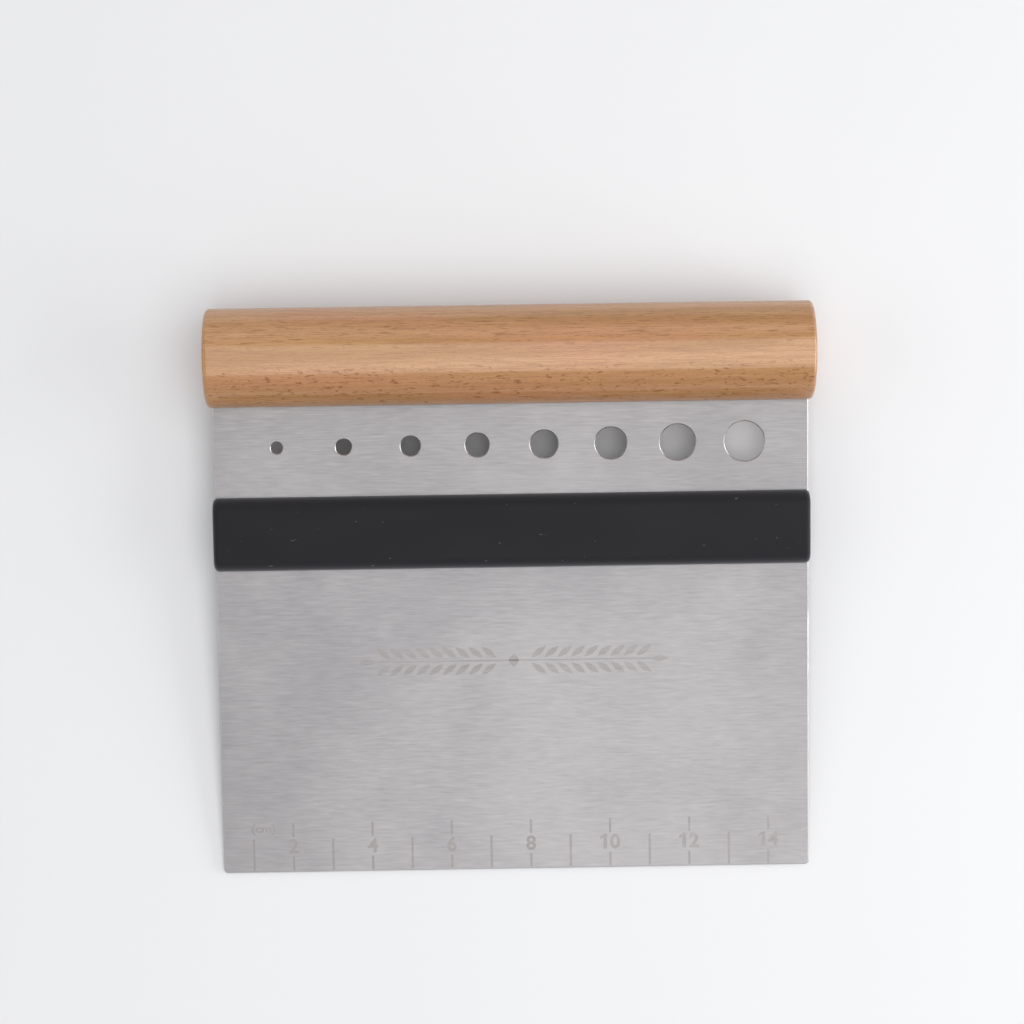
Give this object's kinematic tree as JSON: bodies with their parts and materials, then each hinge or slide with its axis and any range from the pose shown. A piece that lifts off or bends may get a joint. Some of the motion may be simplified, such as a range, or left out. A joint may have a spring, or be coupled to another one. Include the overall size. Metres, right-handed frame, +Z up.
{
  "type": "bench scraper",
  "caption": "Flat steel dough scraper and divider with a round wooden handle, a soft finger grip, graduated herb-stripping holes and an etched centimetre scale.",
  "frame": {"origin": "middle of the tool's footprint, on the worktop it lies on", "axes": "the tool lies on its back as it rests on a worktop, so +Z is up and out of the worktop with the marked front of the blade facing up; +X runs along the scraping edge towards the largest stripper hole, and +Y from the scraping edge towards the handle; the blade leans 5.1 degrees, because the handle is thicker than the blade"},
  "size_m": [0.15, 0.142, 0.0245],
  "materials": {
    "blade_steel": "fine horizontal brushing",
    "handle_wood": "beech under a satin lacquer",
    "cured_epoxy": "cured, translucent amber",
    "grip_silicone": "matt moulded silicone"
  },
  "bodies": {
    "root": {"blade": "blade_steel", "handle": "handle_wood", "slot_adhesive": "cured_epoxy", "finger_grip": "grip_silicone"}
  },
  "joints": []
}
